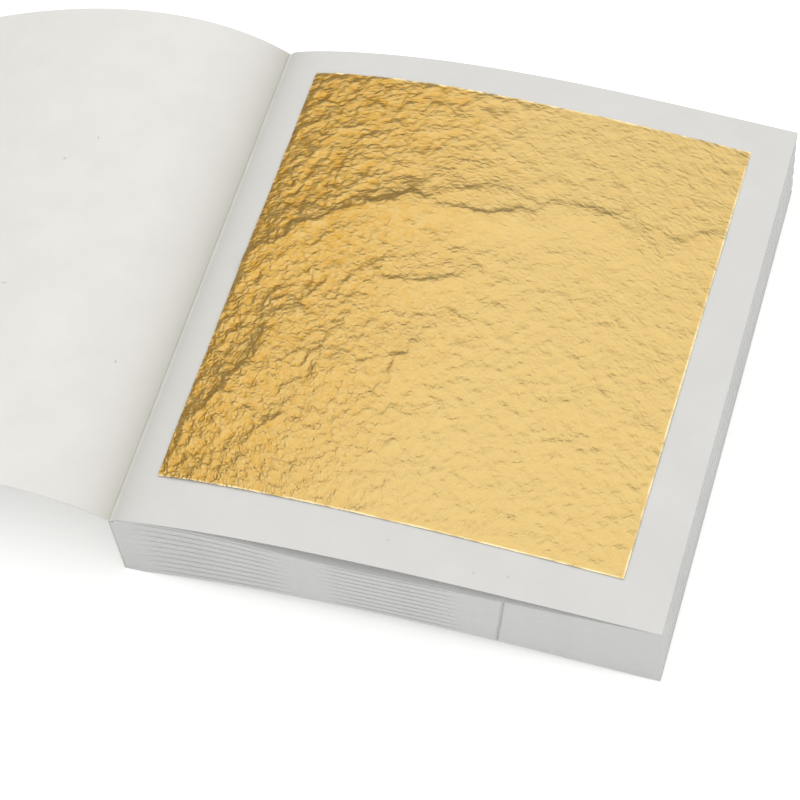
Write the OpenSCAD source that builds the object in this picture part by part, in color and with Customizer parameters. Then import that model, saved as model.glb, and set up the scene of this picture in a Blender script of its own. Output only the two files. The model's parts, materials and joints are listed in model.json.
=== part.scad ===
// Booklet of gold leaf, opened at its first page.
// A hundred soft paper leaves are glued along the left edge into a block. Each leaf carries
// one sheet of gold. The front cover is turned over to the left and curls down to the table.
// X runs from the spine to the fore-edge, Y from the front edge to the back edge, Z up.
// The origin is the middle of the flat strip under the spine that the block stands on.

/* [Paper leaves] */
// Width of a leaf, from the glued edge to the fore-edge
leaf_w = 93.7; // [88:0.1:140]
// Depth of a leaf, from the front edge to the back edge
leaf_d = 99.1; // [92:0.1:140]
// Thickness of one paper leaf
paper_t = 0.1; // [0.06:0.005:0.11]
// Thickness of the front cover and of the back cover
cover_t = 0.14; // [0.08:0.01:0.3]

/* [Gold leaves] */
// Width of a sheet of gold
gold_w = 80; // [60:1:86]
// Depth of a sheet of gold
gold_d = 85; // [60:1:94]
// Thickness that stands for the gold, which is really under a thousandth of a millimetre
gold_t = 0.02; // [0.01:0.005:0.03]
// Bare paper between the glued edge and the gold
gold_inset = 6.3; // [2:0.1:12]
// How far the gold lies towards the back edge, off the middle of the leaf
gold_back = 1.3; // [-3:0.1:3]
// How far the top sheet of gold is turned on its leaf, in degrees
gold_skew = -0.86; // [-2:0.02:2]
// Air under the top sheet of gold, which only touches its leaf in places
gold_air = 0.06; // [0.05:0.01:0.2]

/* [Block] */
// Number of leaves in each bundle under the ten loose ones
bundle_leaves = 10; // [8:1:14]
// Height that one leaf takes up at the spine, with its gold and its air
leaf_pitch = 0.178; // [0.172:0.001:0.3]
// How far the top of the block has slipped towards the fore-edge
block_lean = 1.07; // [0:0.01:3]
// Rise of the underside in the middle, where the block has bowed off the table
bow_h = 3.2; // [0:0.1:3.6]
// Rise of the leaves just beside the spine, where the glue holds them tight
hump_h = 1.9; // [0:0.1:2.2]
// Width of that rise
hump_w = 36; // [20:1:50]
// How far each second bundle is set back from the cut edges
bundle_step = 0.12; // [0:0.01:0.4]

/* [Spine] */
// Width of the flat strip that the block stands on
foot_w = 3; // [2:0.1:6]
// Thickness of the glue along the leaves
glue_t = 0.3; // [0.2:0.05:1]
// Thickness of the paper strip over the glue
wrap_t = 0.3; // [0.15:0.05:0.6]
// Depth of the glue's free flank beside the leaves that turn
root_gap = 0.35; // [0.35:0.05:0.6]
// Distance from the top of the block down to the top of the glue
glue_drop = 0.3; // [0.2:0.05:0.6]

/* [Top leaf] */
// Number of leaves that turn
turning_leaves = 5; // [1:1:5]
// Height of the top leaf's arch at the front edge
arch_front = 3.5; // [2.6:0.1:6]
// Height of the top leaf's arch at the back edge
arch_back = 5.1; // [2.6:0.1:7]

/* [Front cover] */
// Angle at which the cover leaves the spine at the front edge
curl_front = 32; // [10:1:50]
// Angle at which the cover leaves the spine at the back edge
curl_back = 38; // [10:1:50]
// Length of paper over which the curl eases off
curl_ease = 31; // [22:1:60]

/* [Hidden] */
// Steps across a leaf of the block, finer beside the spine
STACK_STEPS = 9;
// Steps across the top leaf, its gold and the cover
SHEET_STEPS = 26;
// Crowding of the steps towards the spine
STEP_CROWD = 1.4;
// Skews of the three arches: below 1 the crown moves towards the spine
BOW_SKEW = 0.84;
HUMP_SKEW = 0.8;
ARCH_SKEW = 0.73;
// Air between a sheet of gold and the paper under and over it
LEAF_AIR = 0.005;
// Air between the cover's root and the strip over the glue
ROOT_AIR = 0.03;

// Loose leaves on top, drawn one by one, and the bundle that lies lowest
LOOSE_LEAVES = 10;
LAST_BUNDLE = 10;

total_leaves = LOOSE_LEAVES + (LAST_BUNDLE - 1) * bundle_leaves;
stack_bottom = cover_t + LEAF_AIR;
stack_top = stack_bottom + (total_leaves - 1) * leaf_pitch;
block_h = stack_top + paper_t;

spine_top_x = block_lean - foot_w / 2;
leaf_x = -foot_w / 2 + wrap_t + glue_t;
front_y = -leaf_d / 2;
glue_top = block_h - glue_drop;
cover_root_x = spine_top_x + wrap_t / 2;
cover_root_z = glue_top + ROOT_AIR;

paper_white = [0.87, 0.87, 0.85];
paper_pale = [0.9, 0.9, 0.88];
paper_grey = [0.78, 0.78, 0.77];
leaf_gold = [0.89, 0.72, 0.38];
glue_cream = [0.84, 0.83, 0.78];

function two_digits(n) = n < 10 ? str("0", n) : str(n);
function numbered(word, n) = str(word, "_", two_digits(n));

// The part of the flat strip that lies under the leaves, beside the glue and its paper strip
leaf_foot = foot_w - wrap_t - glue_t;

// Distances from the glued edge at which a leaf of the block bends
stack_steps = concat([0], [for (i = [0:STACK_STEPS])
    leaf_foot + (leaf_w - leaf_foot) * pow(i / STACK_STEPS, STEP_CROWD)]);

// A crown that is 0 at both ends of the span and 1 at its highest
function crown(d, span, skew) = d <= 0 || d >= span ? 0 : sin(180 * pow(d / span, skew));

// Underside and upper side of the block at a distance from the glued edge
function under_z(d) = bow_h * crown(d - leaf_foot, leaf_w - leaf_foot, BOW_SKEW);
function upper_z(d) = hump_h * crown(d, hump_w, HUMP_SKEW);

// How deep leaf i lies in the block, from 0 at the top to 1 at the bottom
function depth_share(i) = (i - 1) / (total_leaves - 1);
function root_z(i) = stack_top - (i - 1) * leaf_pitch;
function lean_at(z) = block_lean * z / block_h;

// Bottom face of leaf i, as [distance from the glued edge, height]
function leaf_line(i) = [for (d = stack_steps)
    [d, root_z(i) + upper_z(d) * (1 - depth_share(i)) + under_z(d) * depth_share(i)]];

// The stretch of a line from one distance to another, with the bends between them
function stretch(line, from, to) = concat(
    [[from, lookup(from, line)]],
    [for (p = line) if (p[0] > from && p[0] < to) p],
    [[to, lookup(to, line)]]);

// A flat-faced strip of even thickness over a line, drawn across the block from front to back
module strip(line, thickness, from_y, depth) {
    upper = [for (i = [len(line) - 1:-1:0]) line[i] + [0, thickness]];
    translate([0, from_y + depth, 0])
        rotate([90, 0, 0])
            linear_extrude(depth)
                polygon(concat(line, upper));
}

// Where the glue's face stands at leaf i, which leans with the block
function glue_face_x(i) = leaf_x + lean_at(root_z(i) + paper_t);

// The leaves that turn stand clear of the glue
function gap_at(i) = i <= turning_leaves ? root_gap : 0;

// One leaf of paper, set back a little from the cut edges
module paper_leaf(i, back = 0) {
    color(paper_white)
        translate([glue_face_x(i), 0, 0])
            strip(stretch(leaf_line(i), gap_at(i), leaf_w - back), paper_t,
                front_y + back, leaf_d - 2 * back);
}

module gold_sheet(i) {
    color(leaf_gold)
        translate([glue_face_x(i), 0, paper_t + LEAF_AIR])
            strip(stretch(leaf_line(i), gold_inset, gold_inset + gold_w), gold_t,
                -gold_d / 2 + gold_back, gold_d);
}

// A sheet between a front and a back row of points, with an even thickness upwards
module ruled_sheet(front, back, thickness) {
    n = len(front);
    up = [0, 0, thickness];
    corners = concat(front, back, [for (p = front) p + up], [for (p = back) p + up]);
    sides = [for (k = [0:n - 2]) each [
        [k, n + k, n + k + 1, k + 1],
        [2 * n + k, 2 * n + k + 1, 3 * n + k + 1, 3 * n + k],
        [k, k + 1, 2 * n + k + 1, 2 * n + k],
        [n + k, 3 * n + k, 3 * n + k + 1, n + k + 1]]];
    ends = [[0, 2 * n, 3 * n, n], [n - 1, 2 * n - 1, 4 * n - 1, 3 * n - 1]];
    polyhedron(corners, concat(triangles(sides), triangles(ends)), convexity = 4);
}

function triangles(quads) = [for (q = quads) each [[q[0], q[2], q[1]], [q[0], q[3], q[2]]]];

// Height of the top leaf's underside, at a distance from the glue and a share of the depth
function arch_z(d, share) = crown(d, leaf_w, ARCH_SKEW) * (arch_front * (1 - share) + arch_back * share);
function top_leaf_z(d, share) = stack_top + max(upper_z(d), arch_z(d, share));

top_glue_x = glue_face_x(1);
sheet_steps = [for (i = [0:SHEET_STEPS]) pow(i / SHEET_STEPS, STEP_CROWD)];

function top_leaf_row(share) = [for (s = sheet_steps)
    let (d = root_gap + s * (leaf_w - root_gap))
    [top_glue_x + d, front_y + share * leaf_d, top_leaf_z(d, share)]];

module top_leaf() {
    color(paper_white)
        ruled_sheet(top_leaf_row(0), top_leaf_row(1), paper_t);
}

// A point of the top sheet of gold, which is turned a little about its middle
function gold_spot(across, along) =
    let (x = (across - 0.5) * gold_w, y = (along - 0.5) * gold_d)
    [top_glue_x + gold_inset + gold_w / 2 + x * cos(gold_skew) - y * sin(gold_skew),
     gold_back + x * sin(gold_skew) + y * cos(gold_skew)];

function gold_edge(along) = [for (s = sheet_steps)
    let (p = gold_spot(s, along))
    [p[0], p[1], paper_t + gold_air + top_leaf_z(p[0] - top_glue_x, (p[1] - front_y) / leaf_d)]];

module top_gold() {
    color(leaf_gold)
        ruled_sheet(gold_edge(0), gold_edge(1), gold_t);
}

// The turned cover starts at its root and curls over: its slope eases from the angle at the
// spine towards a droop, which is searched so that the free edge just rests on the table
curl_step = leaf_w / SHEET_STEPS;
function slope_at(s, start, droop) = droop + (start - droop) * exp(-s / curl_ease);
function curl(start, droop, k = 0, at = [0, cover_root_z]) =
    let (a = slope_at((k + 0.5) * curl_step, start, droop))
    k == SHEET_STEPS ? [at]
    : concat([at], curl(start, droop, k + 1, at + curl_step * [-cos(a), sin(a)]));
function free_edge_z(start, droop) = curl(start, droop)[SHEET_STEPS][1];
function resting_droop(start, low = -85, high = 10, tries = 26) =
    let (middle = (low + high) / 2)
    tries == 0 ? high
    : free_edge_z(start, middle) < 0 ? resting_droop(start, middle, high, tries - 1)
    : resting_droop(start, low, middle, tries - 1);
function cover_row(start, y) =
    [for (p = curl(start, resting_droop(start))) [cover_root_x + p[0], y, p[1]]];

module front_cover() {
    color(paper_pale)
        ruled_sheet(cover_row(curl_back, -front_y), cover_row(curl_front, front_y), cover_t);
}

// The back cover bows with the block and is flat beside the spine
module back_cover() {
    line = [for (d = stack_steps) [d, under_z(d)]];
    color(paper_pale)
        translate([leaf_x + lean_at(cover_t), 0, 0])
            strip(line, cover_t, front_y, leaf_d);
}

// A strip along the spine, which leans with the block
module spine_strip(from_x, width, height) {
    translate([0, -front_y, 0])
        rotate([90, 0, 0])
            linear_extrude(leaf_d)
                polygon([
                    [from_x, 0],
                    [from_x + width, 0],
                    [from_x + width + lean_at(height), height],
                    [from_x + lean_at(height), height]]);
}

module spine_wrap() {
    color(paper_grey)
        spine_strip(-foot_w / 2, wrap_t, glue_top);
}

module spine_glue() {
    color(glue_cream)
        spine_strip(-foot_w / 2 + wrap_t, glue_t, glue_top);
}

function first_of(bundle) = LOOSE_LEAVES + (bundle - 2) * bundle_leaves + 1;

module paper_bundle(bundle) {
    back = bundle % 2 == 0 ? bundle_step : 0;
    for (i = [1:bundle_leaves])
        paper_leaf(first_of(bundle) + i - 1, back);
}

module gold_bundle(bundle) {
    for (i = [1:bundle_leaves])
        gold_sheet(first_of(bundle) + i - 1);
}

front_cover();
back_cover();
spine_wrap();
spine_glue();
top_leaf();  // interleaf_01
top_gold();  // gold_leaf_01
for (i = [2:LOOSE_LEAVES]) {
    paper_leaf(i);
    gold_sheet(i);
}
for (b = [2:LAST_BUNDLE]) {
    paper_bundle(b);
    gold_bundle(b);
}
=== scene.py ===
# %% [markdown]
# # A booklet of gold leaf
# Gold leaf is sold in small booklets. A hundred soft paper leaves are glued along one edge, and
# each carries one sheet of gold, beaten so thin that it crumples under its own air. Here the
# front cover is turned over to the left and the first sheet of gold lies open.
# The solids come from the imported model, at their real size in metres. This lesson dresses them:
# every sheet is made again as a finer mesh on the same lines, and gets the finish of the real one.

# %% Load the solids
import json
import math

import bmesh
import bpy
import numpy as np
from mathutils import Matrix, Vector, noise


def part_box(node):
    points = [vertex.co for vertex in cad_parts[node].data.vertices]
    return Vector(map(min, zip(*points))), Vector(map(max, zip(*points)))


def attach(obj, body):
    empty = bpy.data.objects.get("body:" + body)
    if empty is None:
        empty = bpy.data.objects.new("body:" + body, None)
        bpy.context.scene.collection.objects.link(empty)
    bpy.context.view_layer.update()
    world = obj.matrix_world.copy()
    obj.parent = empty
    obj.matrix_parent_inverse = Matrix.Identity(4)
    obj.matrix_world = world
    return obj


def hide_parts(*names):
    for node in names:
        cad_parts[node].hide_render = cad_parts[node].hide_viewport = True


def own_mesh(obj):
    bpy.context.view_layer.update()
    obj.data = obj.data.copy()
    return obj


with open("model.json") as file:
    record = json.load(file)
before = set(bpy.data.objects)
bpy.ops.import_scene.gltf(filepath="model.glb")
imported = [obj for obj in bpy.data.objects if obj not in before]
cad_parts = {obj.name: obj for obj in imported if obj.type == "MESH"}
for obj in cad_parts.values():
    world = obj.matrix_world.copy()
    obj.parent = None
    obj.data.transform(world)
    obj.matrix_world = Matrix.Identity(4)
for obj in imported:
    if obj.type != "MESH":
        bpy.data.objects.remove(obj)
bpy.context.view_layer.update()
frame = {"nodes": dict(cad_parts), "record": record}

MM = 0.001


# %% [markdown]
# ## The camera
# The picture is taken from the front right, looking down at 58 degrees, with the camera rolled a
# little. A long lens keeps the far edge almost as long as the near one. The camera's axes are
# worked out from two angles and the roll, so no constraint is needed.

# %% Place the camera
CAMERA_AZIMUTH = math.radians(29.09)
CAMERA_HEIGHT_ANGLE = math.radians(58.25)
CAMERA_ROLL = math.radians(-14.55)
CAMERA_AIM = Vector((35.59, -7.41, 0)) * MM
CAMERA_DISTANCE = 465.2 * MM
CAMERA_LENS = 119.34
CAMERA_SENSOR = 36
CAMERA_NEAR = 10 * MM

back = Vector((
    math.sin(CAMERA_AZIMUTH) * math.cos(CAMERA_HEIGHT_ANGLE),
    -math.cos(CAMERA_AZIMUTH) * math.cos(CAMERA_HEIGHT_ANGLE),
    math.sin(CAMERA_HEIGHT_ANGLE),
))
level_right = (-back).cross(Vector((0, 0, 1))).normalized()
level_up = back.cross(level_right)
right = level_right * math.cos(CAMERA_ROLL) + level_up * math.sin(CAMERA_ROLL)
up = level_up * math.cos(CAMERA_ROLL) - level_right * math.sin(CAMERA_ROLL)

camera = bpy.data.objects.new("camera", bpy.data.cameras.new("camera"))
bpy.context.scene.collection.objects.link(camera)
camera.data.lens = CAMERA_LENS
camera.data.sensor_width = CAMERA_SENSOR
camera.data.clip_start = CAMERA_NEAR
turned = Matrix((right, up, back)).transposed().to_4x4()
camera.matrix_world = Matrix.Translation(CAMERA_AIM + back * CAMERA_DISTANCE) @ turned
bpy.context.scene.camera = camera
print("camera at", [round(c / MM) for c in camera.matrix_world.translation], "mm")

# %% [markdown]
# ## Small helpers for colours and materials
# A colour is written as the hex value that a painter would pick from a picture. Blender mixes
# light in linear values, so one function turns hex to linear. A material is a tree of nodes,
# and one helper adds a node with its settings, its values and its links.

# %% Colour and node helpers
def linear(hex_colour):
    """An sRGB hex value as linear red, green, blue and alpha."""
    parts = [int(hex_colour[k:k + 2], 16) / 255 for k in (0, 2, 4)]
    return tuple(c / 12.92 if c <= 0.04045 else ((c + 0.055) / 1.055) ** 2.4 for c in parts) + (1.0,)


def node(tree, kind, inputs=None, **settings):
    """Adds a node to a tree. Each input is a value or the socket that it is linked from."""
    made = tree.nodes.new("ShaderNode" + kind)
    for key, value in settings.items():
        setattr(made, key, value)
    for key, value in (inputs or {}).items():
        if isinstance(value, bpy.types.NodeSocket):
            tree.links.new(value, made.inputs[key])
        else:
            made.inputs[key].default_value = value
    return made


# The Mix node keeps its sockets for colours at these places
MIX_SHARE, MIX_A, MIX_B, MIX_OUT = 0, 6, 7, 2


def mix_colours(tree, share, a, b):
    """The colour that lies a share of the way from a to b."""
    mixed = node(tree, "Mix", {MIX_SHARE: share, MIX_A: a, MIX_B: b}, data_type="RGBA")
    return mixed.outputs[MIX_OUT]


def new_material(name):
    """An empty material, with its tree and the output's surface socket."""
    material = bpy.data.materials.new(name)
    material.use_nodes = True
    material.node_tree.nodes.clear()
    output = node(material.node_tree, "OutputMaterial")
    return material, material.node_tree, output.inputs["Surface"]


print("a warm paper white is linear", [round(c, 3) for c in linear("E4E3DF")])

# %% [markdown]
# ## Light and floor
# White paper and thin metal are lit best by one very large soft lamp. It hangs almost straight
# above the booklet. Metal shows nothing but what it mirrors, so a facet of the gold shines where
# it mirrors the lamp, and goes deep where it is tilted past the lamp's edge. The room around the
# lamp is a dim even white, which fills the shadows.

# %% Light the room
ROOM_STRENGTH = 0.40
SOFTBOX_SIZE = 1.5
SOFTBOX_PLACE = Vector((0.05, -0.01, 0.75))
SOFTBOX_RADIANCE = 1.075

world = bpy.data.worlds.new("studio")
world.use_nodes = True
world.node_tree.nodes["Background"].inputs["Color"].default_value = linear("FFFFFF")
world.node_tree.nodes["Background"].inputs["Strength"].default_value = ROOM_STRENGTH
bpy.context.scene.world = world

softbox = bpy.data.objects.new("softbox", bpy.data.lights.new("softbox", "AREA"))
bpy.context.scene.collection.objects.link(softbox)
softbox.data.size = SOFTBOX_SIZE
softbox.data.energy = SOFTBOX_RADIANCE * math.pi * SOFTBOX_SIZE ** 2
softbox.location = SOFTBOX_PLACE

view = bpy.context.scene.view_settings
view.view_transform = "Standard"
print("softbox of", round(softbox.data.energy, 2), "W")

# %% [markdown]
# The floor is plain. To the camera, and in what the gold and the glue mirror, it adds a glow that
# lifts it to white, while its own matt part still takes the booklet's shadow.

# %% Lay the floor
FLOOR_HALF = 3.0
FLOOR_GLOW = 0.38

floor_material, tree, surface = new_material("matt white floor")
seen = node(tree, "LightPath")
to_eye = seen.outputs["Is Camera Ray"]
for kind in ("Is Glossy Ray", "Is Transmission Ray"):
    to_eye = node(tree, "Math", {0: to_eye, 1: seen.outputs[kind]}, operation="MAXIMUM").outputs[0]
glow = node(tree, "Math", {0: to_eye, 1: FLOOR_GLOW}, operation="MULTIPLY")
matt = node(tree, "BsdfDiffuse", {"Color": linear("F0F0EE")})
shine = node(tree, "Emission", {"Color": linear("FFFFFF"), "Strength": glow.outputs[0]})
both = node(tree, "AddShader", {0: matt.outputs[0], 1: shine.outputs[0]})
tree.links.new(both.outputs[0], surface)

bm = bmesh.new()
bmesh.ops.create_grid(bm, x_segments=1, y_segments=1, size=FLOOR_HALF)
floor = bpy.data.objects.new("floor", bpy.data.meshes.new("floor"))
bm.to_mesh(floor.data)
bm.free()
floor.data.materials.append(floor_material)
bpy.context.scene.collection.objects.link(floor)
print("floor of", FLOOR_HALF * 2, "m")

# %% [markdown]
# ## Reading the sheets out of the solids
# The solids are made of flat faces, so a leaf's arch shows bends. Their corners lie on the true
# curve, though, so each leaf can be made again on a smooth line through them, and leaves still
# lie on each other. First the separate sheets of a node are told apart: corners that edges join
# belong to one sheet.

# %% Sheets of a node
SAME_PLACE = 0.01 * MM


def loose_sheets(name):
    """The separate sheets of a node, from the top one down, each as an array of its corners."""
    bm = bmesh.new()
    bm.from_mesh(frame["nodes"][name].data)
    bmesh.ops.remove_doubles(bm, verts=bm.verts[:], dist=0.1 * SAME_PLACE)
    waiting = set(bm.verts)
    sheets = []
    while waiting:
        reached = [waiting.pop()]
        for v in reached:
            near = {e.other_vert(v) for e in v.link_edges} & waiting
            waiting -= near
            reached.extend(near)
        sheets.append(np.array([v.co[:] for v in reached]))
    bm.free()
    return sorted(sheets, key=lambda corners: -corners[:, 2].max())


print("the second bundle has", len(loose_sheets("paper_bundle_02")), "leaves")

# %% [markdown]
# Every sheet runs straight from front to back, so its shape is all in two rows of corners, one
# along its front edge and one along its back edge.

# %% Rows of a sheet
def edge_rows(corners, outward=1):
    """The lower front edge and lower back edge of a sheet, from the spine outward, and its thickness."""
    middle = (corners[:, 1].min() + corners[:, 1].max()) / 2
    rows = []
    for side in (corners[corners[:, 1] < middle], corners[corners[:, 1] > middle]):
        side = side[np.argsort(side[:, 0] * outward)]
        starts = np.flatnonzero(np.abs(np.diff(side[:, 0])) > SAME_PLACE) + 1
        pairs = np.split(side, starts)
        rows.append(np.array([pair[pair[:, 2].argmin()] for pair in pairs]))
        thickness = float(np.median([np.ptp(pair[:, 2]) for pair in pairs]))
    return rows, thickness


top_rows, PAPER = edge_rows(loose_sheets("interleaf_01")[0])
cover_rows, COVER = edge_rows(loose_sheets("front_cover")[0], outward=-1)
print("paper", round(PAPER / MM, 3), "mm, cover", round(COVER / MM, 3), "mm")
print("the first leaf has", len(top_rows[0]), "corners in a row")

# %% [markdown]
# A smooth line is drawn through a row's corners, in the way a draughtsman bends a spline through
# pins: at each corner it points the way its two neighbours suggest.

# %% Smooth lines along a sheet
FINE = np.linspace(0, 1, 400)


def along(row, shares):
    """Points on a smooth line through the points of a row, at shares of its length."""
    gone = np.r_[0, np.cumsum(np.linalg.norm(np.diff(row, axis=0), axis=1))]
    gone /= gone[-1]
    slopes = np.gradient(row, gone, axis=0)
    k = np.clip(np.searchsorted(gone, shares, side="right") - 1, 0, len(gone) - 2)
    width = (gone[k + 1] - gone[k])[:, None]
    t = (np.asarray(shares) - gone[k])[:, None] / width
    return (
        (2 * t ** 3 - 3 * t ** 2 + 1) * row[k]
        + (t ** 3 - 2 * t ** 2 + t) * width * slopes[k]
        + (3 * t ** 2 - 2 * t ** 3) * row[k + 1]
        + (t ** 3 - t ** 2) * width * slopes[k + 1]
    )


def ruled(rows, across, back_share):
    """Points between the front row and the back row of a sheet."""
    return along(rows[0], across) * (1 - back_share[:, None]) + along(rows[1], across) * back_share[:, None]


def height_on(rows, x, y):
    """Height of a sheet's lower face at places x, y."""
    front, behind = along(rows[0], FINE), along(rows[1], FINE)
    share = (y - front[0, 1]) / (behind[0, 1] - front[0, 1])
    at_front = np.interp(x, front[:, 0], front[:, 2])
    at_back = np.interp(x, behind[:, 0], behind[:, 2])
    return at_front * (1 - share) + at_back * share


arch = along(top_rows[1], FINE)[:, 2]
print("the first leaf arches from", round(arch[0] / MM, 1), "to", round(arch.max() / MM, 1), "mm")

# %% [markdown]
# ## Making a sheet
# A sheet starts as a flat unit square from the grid operator. Its border can be cut finer than
# its middle, because a cut edge wanders more than the paper does.

# %% Flat sheets
def flat_sheet(columns, ranks, edge_cuts=0):
    """A unit square of paper, with its border cut finer."""
    bm = bmesh.new()
    bmesh.ops.create_grid(bm, x_segments=columns, y_segments=ranks, size=0.5)
    bmesh.ops.translate(bm, verts=bm.verts[:], vec=(0.5, 0.5, 0))
    if edge_cuts:
        border = [e for e in bm.edges if e.is_boundary]
        bmesh.ops.subdivide_edges(bm, edges=border, cuts=edge_cuts)
    return bm


print("a flat sheet of 4 by 3 has", len(flat_sheet(4, 3).faces), "faces")

# %% [markdown]
# The square is then draped: each corner goes where a function says. Last, the whole sheet is
# extruded upwards by its thickness, which closes it. The rim's edges are marked sharp, so that a
# thin sheet shades flat right up to its edge. The sheet also remembers its flat places, in an
# attribute that the paper's pattern reads.

# %% Draped sheets
def is_cut(spot, size):
    """Whether a spot of a sheet lies on its front, back or fore edge, which the knife cut."""
    to_edge = min(size[0] - spot[0], spot[1], size[1] - spot[1])
    return to_edge < SAME_PLACE


def drape(bm, place, size, thickness, marks=None, burr=0):
    """Moves each corner of a flat sheet to its place and closes the sheet at its thickness."""
    flat = np.array([v.co[:2] for v in bm.verts])
    spots = place(flat[:, 0], flat[:, 1])
    on_sheet = bm.verts.layers.float_vector.new("on_sheet")
    marks = marks(flat[:, 0], flat[:, 1]) if marks else {}
    layers = [(bm.verts.layers.float.new(name), values) for name, values in marks.items()]
    for k, v in enumerate(bm.verts):
        v[on_sheet] = (flat[k, 0] * size[0], flat[k, 1] * size[1], 0)
        v.co = spots[k]
        for layer, values in layers:
            v[layer] = values[k]
    lower = set(bm.faces)
    grown = bmesh.ops.extrude_face_region(bm, geom=bm.faces[:])["geom"]
    upper = [part for part in grown if isinstance(part, bmesh.types.BMVert)]
    bmesh.ops.translate(bm, verts=upper, vec=(0, 0, thickness))
    if burr:
        cut = [v for v in upper if is_cut(v[on_sheet], size)]
        bmesh.ops.translate(bm, verts=cut, vec=(0, 0, burr))
    faces = lower.union(part for part in grown if isinstance(part, bmesh.types.BMFace))
    for face in bm.faces:
        face.smooth = face in faces
        if not face.smooth:
            for edge in face.edges:
                edge.smooth = False
    return bm


sample = drape(flat_sheet(4, 3), lambda s, t: np.column_stack([s, t, 0 * s]), (1, 1), 0.1)
print("draped and closed it has", len(sample.faces), "faces")

# %% [markdown]
# A piece is one object, made from one sheet or from a whole bundle. It rides on a body of the
# model and is shown in place of that body's solid.

# %% Pieces from sheets
def piece_of(name, sheets, material):
    """One object from one or more sheets, each a bmesh that is used up."""
    mesh = bpy.data.meshes.new(name)
    joined = bmesh.new()
    for bm in sheets:
        part = bpy.data.meshes.new("part")
        bm.to_mesh(part)
        bm.free()
        joined.from_mesh(part)
        bpy.data.meshes.remove(part)
    joined.to_mesh(mesh)
    joined.free()
    mesh.materials.append(material)
    piece = bpy.data.objects.new(name, mesh)
    bpy.context.scene.collection.objects.link(piece)
    return piece


def stand_for(piece, body, node_name):
    """The piece rides on a body and is shown in place of a node."""
    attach(piece, body)
    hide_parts(node_name)
    print(piece.name, "for", node_name, "with", len(piece.data.polygons), "faces")


# %% [markdown]
# ## Paper
# The leaves are soft uncoated tissue and the cover is a thin smooth wove paper. Both are matt:
# light sinks in and comes out evenly, so the roughness is high and the colour is a warm light
# grey rather than a pure white. A few dark specks in the pulp are placed one by one, each a
# small soft oval.

# %% Specks in the pulp
SPECK_COLOUR = linear("C6C3BA")
# Each speck: its place in mm from the sheet's inner front corner, its length and width in mm and
# its angle in degrees
COVER_SPECKS = [
    (31.9, 65.1, 0.7, 0.35, 20),
    (27.1, 70.2, 0.6, 0.3, 70),
    (33.4, 38.1, 0.9, 0.3, -15),
    (8.6, 27.6, 0.6, 0.35, 40),
]
TOP_LEAF_SPECKS = [
    (67.6, 3.5, 0.8, 0.25, 65),
    (62.0, 2.8, 0.6, 0.25, 75),
    (47.2, 5.0, 0.5, 0.25, 20),
]


def specks_on(tree, place, specks):
    """A mask that is 1 on each speck and fades out at its rim."""
    mask = None
    for x, y, length, width, angle in specks:
        own = node(tree, "Mapping", {
            "Vector": place,
            "Location": (x * MM, y * MM, 0),
            "Rotation": (0, 0, math.radians(angle)),
            "Scale": (length * MM / 2, width * MM / 2, 1),
        }, vector_type="TEXTURE")
        far = node(tree, "VectorMath", {0: own.outputs[0]}, operation="LENGTH")
        near = node(tree, "MapRange", {"Value": far.outputs["Value"], "From Min": 1.5, "From Max": 0.2})
        if mask:
            near = node(tree, "Math", {0: mask, 1: near.outputs[0]}, operation="MAXIMUM")
        mask = near.outputs[0]
    return mask


print("specks:", len(COVER_SPECKS), "on the cover,", len(TOP_LEAF_SPECKS), "on the first leaf")

# %% [markdown]
# Close up, pulp shows as a faint cloudiness some millimetres wide, and as fibres. Real fibres are 0.02 mm
# thick, too fine for the picture, so they are drawn coarser. Towards its glued edge a sheet is painted
# greyer, as painted shade for the gutter between the cover and the leaves.

# %% Uncoated paper
CLOUD = 9 * MM
FIBRE = 0.5 * MM
FIBRE_DEPTH = 0.012 * MM
PAPER_ROUGHNESS = 0.88
PAPER_IOR = 1.45
GUTTER_SHADE_FADE = 3.4 * MM


def uncoated_paper(name, light, shade, on_sheet=True, specks=(), gutter_shade=None):
    """Matt paper with cloudy pulp, fibres and specks, and painted gutter shade that greys it towards its
    glued edge.
    """
    material, tree, surface = new_material(name)
    if on_sheet:
        place = node(tree, "Attribute", attribute_name="on_sheet").outputs["Vector"]
    else:
        place = node(tree, "TexCoord").outputs["Object"]
    cloud = node(tree, "TexNoise", {"Vector": place, "Scale": 1 / CLOUD, "Detail": 4, "Roughness": 0.6})
    share = node(tree, "MapRange", {"Value": cloud.outputs[0], "From Min": 0.3, "From Max": 0.7})
    colour = mix_colours(tree, share.outputs[0], linear(light), linear(shade))
    # Painted gutter shade: the colour greys towards the glued edge, where shade falls in the gutter.
    if gutter_shade:
        from_edge = node(tree, "SeparateXYZ", {0: place}).outputs["X"]
        depth = node(tree, "Math", {0: from_edge, 1: -1 / GUTTER_SHADE_FADE}, operation="MULTIPLY")
        gutter_shading = node(tree, "Math", {0: depth.outputs[0]}, operation="EXPONENT")
        colour = mix_colours(tree, gutter_shading.outputs[0], colour, linear(gutter_shade))
    if specks:
        colour = mix_colours(tree, specks_on(tree, place, specks), colour, SPECK_COLOUR)
    fibres = node(tree, "TexNoise", {"Vector": place, "Scale": 1 / FIBRE, "Detail": 5, "Distortion": 1.5})
    bump = node(tree, "Bump", {"Height": fibres.outputs[0], "Strength": 0.35, "Distance": FIBRE_DEPTH})
    shader = node(tree, "BsdfPrincipled", {
        "Base Color": colour,
        "Roughness": PAPER_ROUGHNESS,
        "IOR": PAPER_IOR,
        "Normal": bump.outputs[0],
    })
    tree.links.new(shader.outputs[0], surface)
    return material


# The block's leaves and the first leaf are one tissue in two copies: the block's copy is lighter, which
# paints extra light on its cut faces.
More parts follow.
